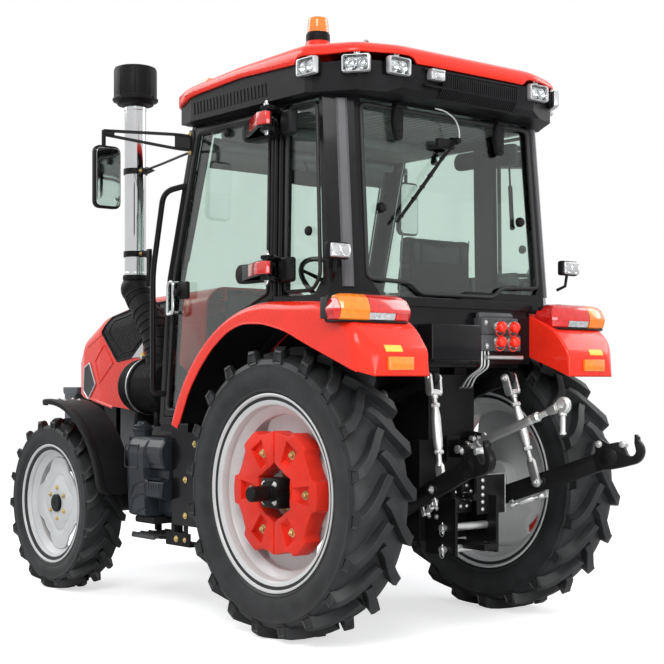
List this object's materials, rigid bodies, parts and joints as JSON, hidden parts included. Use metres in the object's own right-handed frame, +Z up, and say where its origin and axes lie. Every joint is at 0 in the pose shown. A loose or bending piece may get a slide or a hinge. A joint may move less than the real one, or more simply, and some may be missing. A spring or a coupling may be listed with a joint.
{
  "type": "farm tractor with cab",
  "caption": "Four-wheel-drive farm tractor with an enclosed cab, side air intake, rear wheel weights and a rear three-point linkage.",
  "frame": {"origin": "on the ground under the middle of the machine's overall box", "axes": "+X forward along the machine's length, +Y to the driver's left, +Z up"},
  "size_m": [4.028, 2.224, 2.926],
  "materials": {
    "red_paint": "gloss red enamel",
    "weight_red": "semi-gloss red on a cast surface",
    "rim_white": "off-white satin enamel",
    "tyre": "new black rubber",
    "cab_black": "gloss black",
    "black_plastic": "fine-grained black",
    "tank_plastic": "moulded black polyethylene",
    "black_steel": "satin black paint",
    "glass": "green-tinted safety glass",
    "chrome": "polished",
    "zinc_steel": "bright zinc plate",
    "cast_grey": "grey painted casting",
    "weight_grey": "dark grey paint",
    "seat_fabric": "black woven cover",
    "lamp_body": "clear lens over a bright reflector",
    "lens_orange": "ribbed lens",
    "lens_red": "ribbed lens",
    "mirror_glass": "silvered glass",
    "brass_bolt": "yellow zinc plate",
    "rubber": "black rubber"
  },
  "bodies": {
    "chassis": {"cab_frame": "cab_black", "cab_floor": "cab_black", "cab_windows": "glass", "console": "black_plastic", "seat": "seat_fabric", "roof": "red_paint", "roof_trim": "black_plastic", "lamps": "lamp_body", "rear_fenders": "red_paint", "engine": "cast_grey", "gearbox": "black_steel", "front_axle": "black_steel", "front_frame": "black_steel", "front_weights": "weight_grey", "side_tanks": "tank_plastic", "air_cleaner": "black_plastic", "intake_stack": "chrome", "mirrors_and_rails": "black_steel", "rear_valves": "black_steel", "drawbar_frame": "black_steel"},
    "bonnet": {"bonnet": "red_paint", "grille": "black_plastic"},
    "lift_arms": {"lift_arms": "black_steel"},
    "top_link": {"top_link": "zinc_steel"},
    "rear_wheel_left": {"rear_tyre_left": "tyre", "rear_rim_left": "rim_white", "wheel_weights_left": "weight_red"},
    "front_wheel_left": {"front_tyre_left": "tyre", "front_rim_left": "rim_white"},
    "knuckle_left": {"knuckle_left": "black_steel", "front_fender_left": "black_plastic"},
    "door_left": {"door_frame_left": "cab_black", "door_glass_left": "glass"},
    "lift_rod_left": {"lift_rod_left": "zinc_steel"},
    "lower_link_left": {"lower_link_left": "black_steel"},
    "rear_wheel_right": {"rear_tyre_right": "tyre", "rear_rim_right": "rim_white", "wheel_weights_right": "weight_red"},
    "front_wheel_right": {"front_tyre_right": "tyre", "front_rim_right": "rim_white"},
    "knuckle_right": {"knuckle_right": "black_steel", "front_fender_right": "black_plastic"},
    "door_right": {"door_frame_right": "cab_black", "door_glass_right": "glass"},
    "lift_rod_right": {"lift_rod_right": "zinc_steel"},
    "lower_link_right": {"lower_link_right": "black_steel"}
  },
  "joints": [
    {"name": "rear_wheel_left_spin", "type": "hinge", "parent": "chassis", "child": "rear_wheel_left", "pos_m": [-0.936, 0.69, 0.67], "axis": [0, 1, 0], "continuous": true},
    {"name": "steering_left", "type": "hinge", "parent": "chassis", "child": "knuckle_left", "pos_m": [1.114, 0.555, 0.485], "axis": [0, 0, 1], "range_deg": [-35, 35]},
    {"name": "front_wheel_left_spin", "type": "hinge", "parent": "knuckle_left", "child": "front_wheel_left", "pos_m": [1.114, 0.745, 0.485], "axis": [0, 1, 0], "continuous": true},
    {"name": "door_left_hinge", "type": "hinge", "parent": "chassis", "child": "door_left", "pos_m": [-0.966, 0.87, 2], "axis": [0, 0, 1], "range_deg": [0, 70]},
    {"name": "lower_link_left_lift", "type": "hinge", "parent": "chassis", "child": "lower_link_left", "pos_m": [-1.086, 0.225, 0.54], "axis": [0, 1, 0], "range_deg": [-33.5, 4.5]},
    {"name": "lift_rod_left_swing", "type": "hinge", "parent": "lift_arms", "child": "lift_rod_left", "pos_m": [-1.401, 0.251, 1.195], "axis": [0, 1, 0], "range_deg": [-9, 68.5]},
    {"name": "rear_wheel_right_spin", "type": "hinge", "parent": "chassis", "child": "rear_wheel_right", "pos_m": [-0.936, -0.69, 0.67], "axis": [0, 1, 0], "continuous": true},
    {"name": "steering_right", "type": "hinge", "parent": "chassis", "child": "knuckle_right", "pos_m": [1.114, -0.555, 0.485], "axis": [0, 0, 1], "range_deg": [-35, 35]},
    {"name": "front_wheel_right_spin", "type": "hinge", "parent": "knuckle_right", "child": "front_wheel_right", "pos_m": [1.114, -0.745, 0.485], "axis": [0, 1, 0], "continuous": true},
    {"name": "door_right_hinge", "type": "hinge", "parent": "chassis", "child": "door_right", "pos_m": [-0.966, -0.87, 2], "axis": [0, 0, -1], "range_deg": [0, 70]},
    {"name": "lower_link_right_lift", "type": "hinge", "parent": "chassis", "child": "lower_link_right", "pos_m": [-1.086, -0.225, 0.54], "axis": [0, 1, 0], "range_deg": [-33.5, 4.5]},
    {"name": "lift_rod_right_swing", "type": "hinge", "parent": "lift_arms", "child": "lift_rod_right", "pos_m": [-1.401, -0.251, 1.195], "axis": [0, 1, 0], "range_deg": [-9, 68.5]},
    {"name": "bonnet_hinge", "type": "hinge", "parent": "chassis", "child": "bonnet", "pos_m": [0.289, 0, 1.64], "axis": [0, -1, 0], "range_deg": [0, 50]},
    {"name": "lift_arms_turn", "type": "hinge", "parent": "chassis", "child": "lift_arms", "pos_m": [-1.086, 0, 1.11], "axis": [0, 1, 0], "range_deg": [-56, 6.8]},
    {"name": "top_link_swing", "type": "hinge", "parent": "chassis", "child": "top_link", "pos_m": [-1.361, 0, 0.861], "axis": [0, 1, 0], "range_deg": [-35, 40]}
  ],
  "couplings": [
    {"joint": "lower_link_left_lift", "follows": "lift_arms_turn", "ratio": 0.588},
    {"joint": "lift_rod_left_swing", "follows": "lift_arms_turn", "ratio": -1.206},
    {"joint": "lower_link_right_lift", "follows": "lift_arms_turn", "ratio": 0.588},
    {"joint": "lift_rod_right_swing", "follows": "lift_arms_turn", "ratio": -1.206},
    {"joint": "steering_right", "follows": "steering_left", "ratio": 1}
  ]
}
